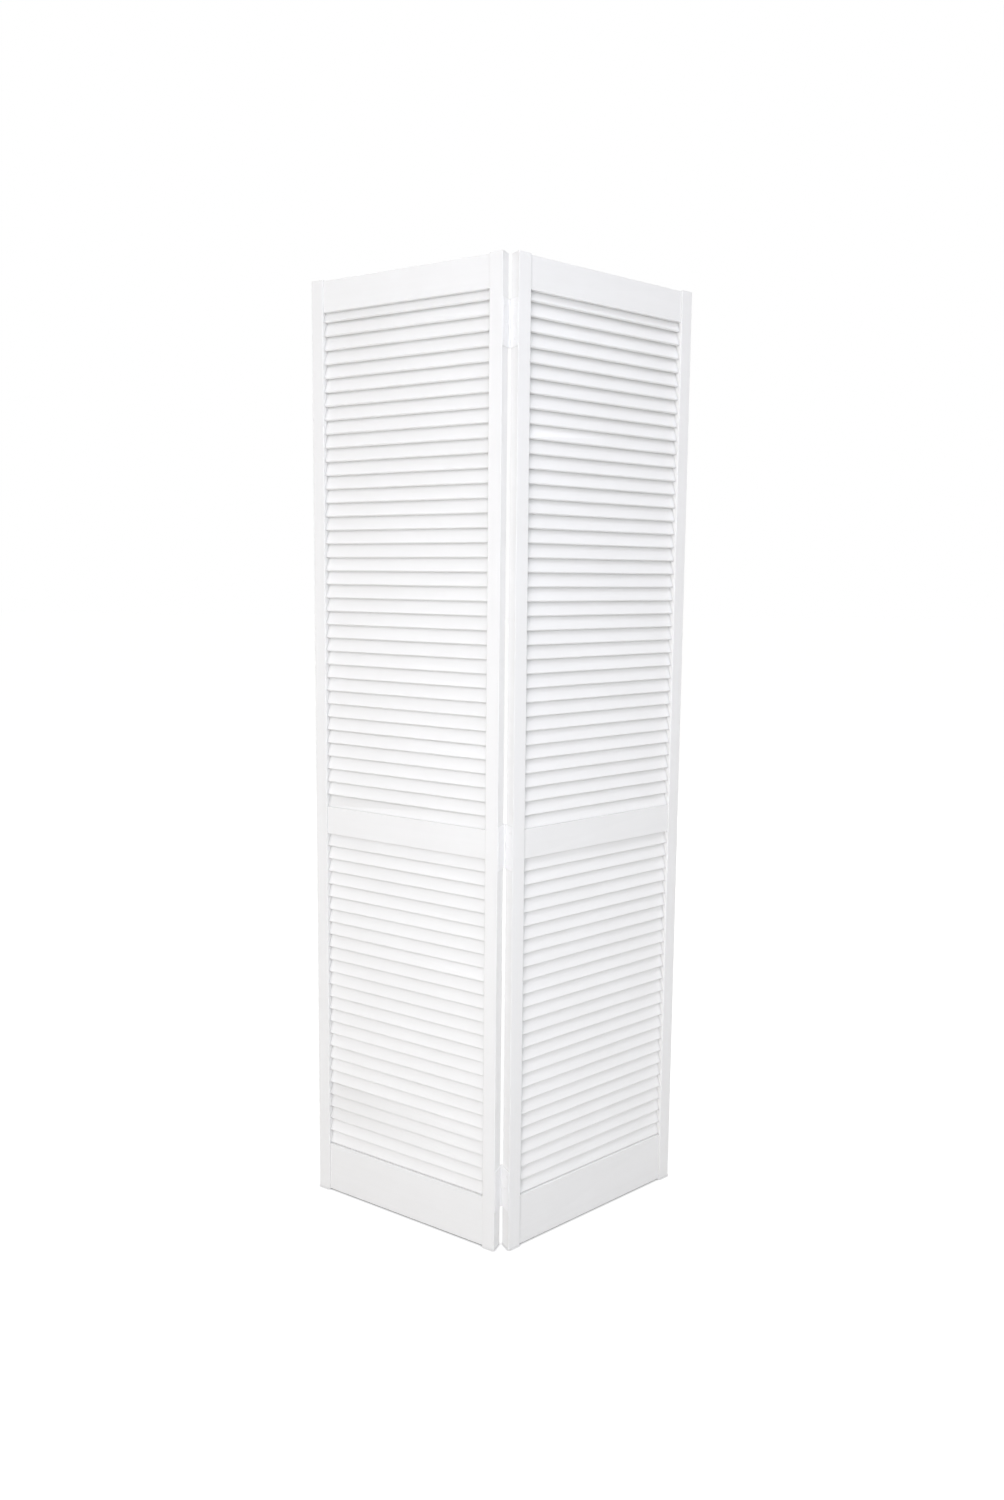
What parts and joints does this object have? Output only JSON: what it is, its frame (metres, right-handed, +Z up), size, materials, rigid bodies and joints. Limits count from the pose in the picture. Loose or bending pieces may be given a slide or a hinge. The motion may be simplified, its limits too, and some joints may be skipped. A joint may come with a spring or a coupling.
{
  "type": "louvred door",
  "caption": "White painted two-leaf folding louvred door standing half folded, with fixed slanted slats above and below a mid rail and butt hinges between the leaves.",
  "frame": {"origin": "on the floor, at the middle of the standing door's footprint", "axes": "+Z up the door, +X across it from the left leaf to the right leaf, -Y towards the viewer, where the hinged fold points"},
  "size_m": [0.8074, 0.2456, 2.007],
  "materials": {
    "painted_wood": "satin white paint",
    "white_hinge": "satin white enamel"
  },
  "bodies": {
    "root": {"left_hinge_stile": "painted_wood", "left_outer_stile": "painted_wood", "left_top_rail": "painted_wood", "left_mid_rail": "painted_wood", "left_bottom_rail": "painted_wood", "left_upper_slats": "painted_wood", "left_lower_slats": "painted_wood", "right_hinge_stile": "painted_wood", "right_outer_stile": "painted_wood", "right_top_rail": "painted_wood", "right_mid_rail": "painted_wood", "right_bottom_rail": "painted_wood", "right_upper_slats": "painted_wood", "right_lower_slats": "painted_wood", "top_hinge_left_plate": "white_hinge", "top_hinge_right_plate": "white_hinge", "top_hinge_pin": "white_hinge", "mid_hinge_left_plate": "white_hinge", "mid_hinge_right_plate": "white_hinge", "mid_hinge_pin": "white_hinge", "bottom_hinge_left_plate": "white_hinge", "bottom_hinge_right_plate": "white_hinge", "bottom_hinge_pin": "white_hinge"}
  },
  "joints": []
}
